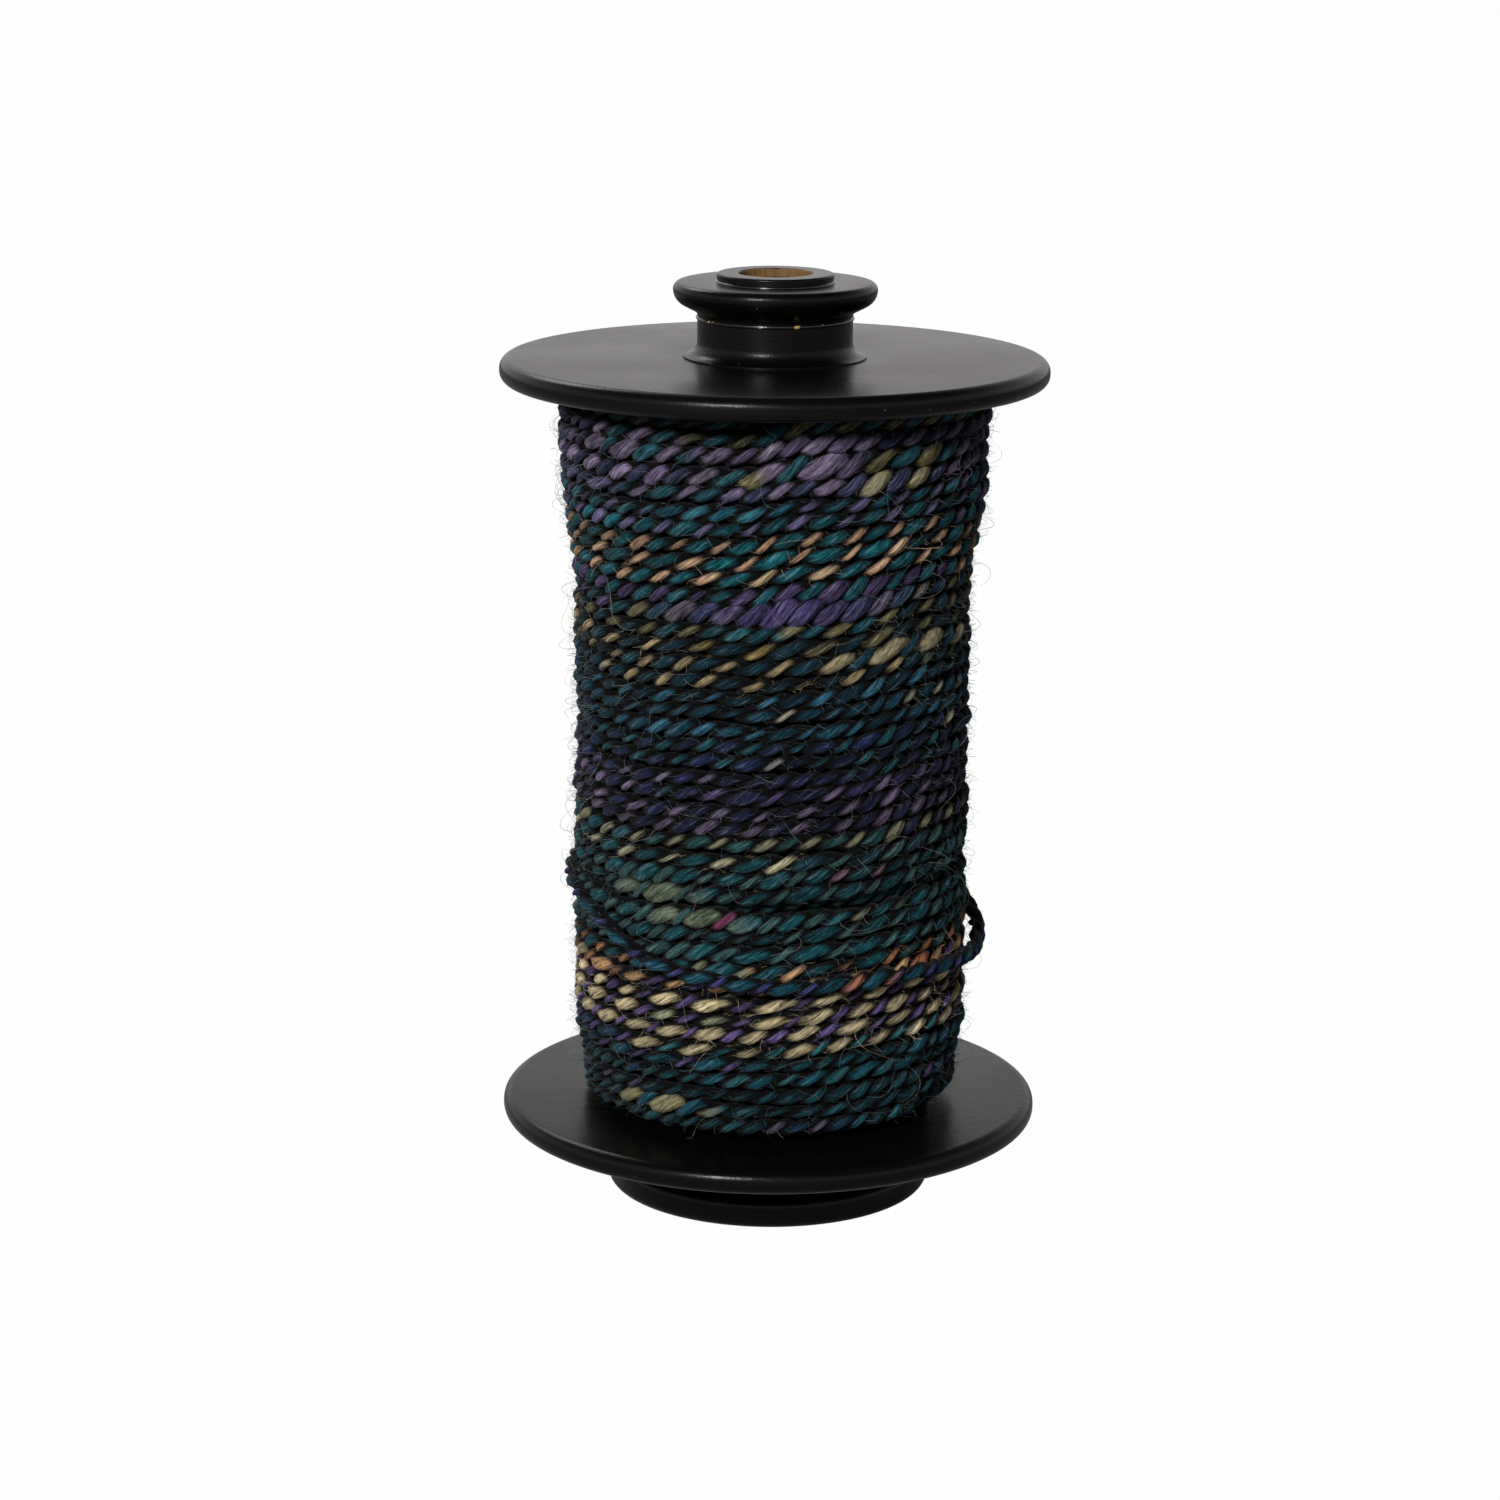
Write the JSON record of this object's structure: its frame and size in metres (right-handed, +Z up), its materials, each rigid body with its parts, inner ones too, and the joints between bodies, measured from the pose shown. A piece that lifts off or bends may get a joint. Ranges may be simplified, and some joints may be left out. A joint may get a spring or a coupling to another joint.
{
  "type": "spinning wheel bobbin",
  "caption": "Jumbo flyer bobbin: bushed wooden core, two flat flanges, a large and a small grooved whorl, and a full pack of thick-and-thin plied yarn with a slack turn.",
  "frame": {"origin": "centre of the core's end below the large whorl, which the bobbin stands on", "axes": "+Z up the bobbin's axis, from the large whorl to the small whorl; +X and +Y are any two square directions across it, -Y being the side that the yarn's slack turn crosses"},
  "size_m": [0.1016, 0.1016, 0.1764],
  "materials": {
    "black_wood": "satin",
    "bronze": "satin",
    "yarn": "matte"
  },
  "bodies": {
    "root": {"core_tube": "black_wood", "bottom_flange": "black_wood", "top_flange": "black_wood", "bottom_hub": "black_wood", "top_hub": "black_wood", "large_whorl": "black_wood", "small_whorl": "black_wood", "bottom_bush": "bronze", "top_bush": "bronze", "yarn_core": "yarn", "yarn_winding": "yarn"}
  },
  "joints": []
}
